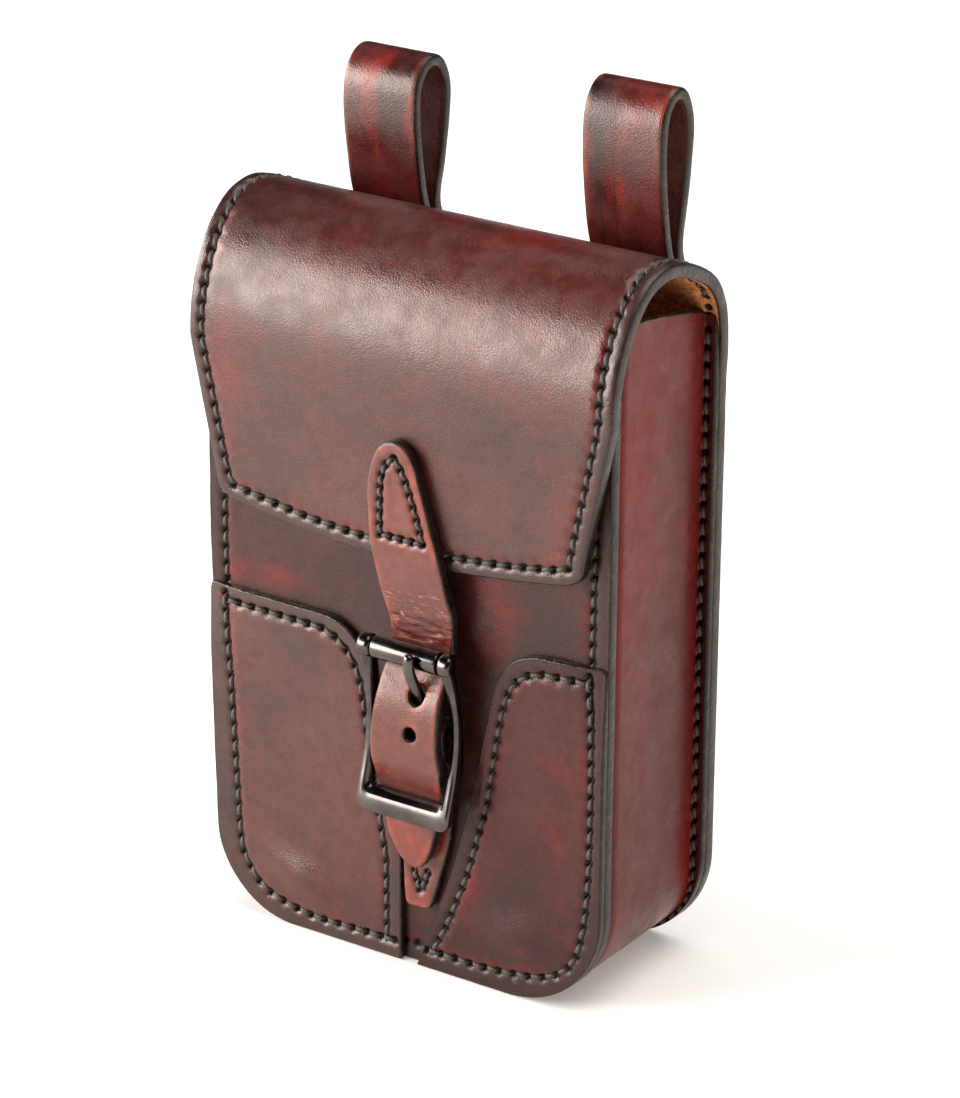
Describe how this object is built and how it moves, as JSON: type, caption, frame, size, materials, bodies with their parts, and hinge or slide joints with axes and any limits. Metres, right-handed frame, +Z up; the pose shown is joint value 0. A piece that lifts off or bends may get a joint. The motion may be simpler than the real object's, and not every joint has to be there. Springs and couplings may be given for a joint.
{
  "type": "leather belt pouch",
  "caption": "Upright leather belt pouch with a fold-over flap, a strap and buckle closure in front, and upright belt loops sewn to the back.",
  "frame": {"origin": "middle of the footprint, on the base", "axes": "+Z up along the pouch, +Y from the front panel to the back panel, +X to the right seen from the front"},
  "size_m": [0.1044, 0.0612, 0.1871],
  "materials": {
    "body_leather": "waxed oxblood, semi-gloss, burnished dark edges",
    "strap_leather": "waxed oxblood, semi-gloss, burnished dark edges",
    "buckle_metal": "gloss black"
  },
  "bodies": {
    "root": {"back_and_flap": "body_leather", "front_panel": "body_leather", "front_overlay_left": "body_leather", "front_overlay_right": "body_leather", "gusset": "body_leather", "closing_strap": "strap_leather", "buckle_tab": "strap_leather", "buckle_frame": "buckle_metal", "buckle_roller": "buckle_metal", "buckle_prong": "buckle_metal", "belt_loop_left": "strap_leather", "belt_loop_right": "strap_leather"}
  },
  "joints": []
}
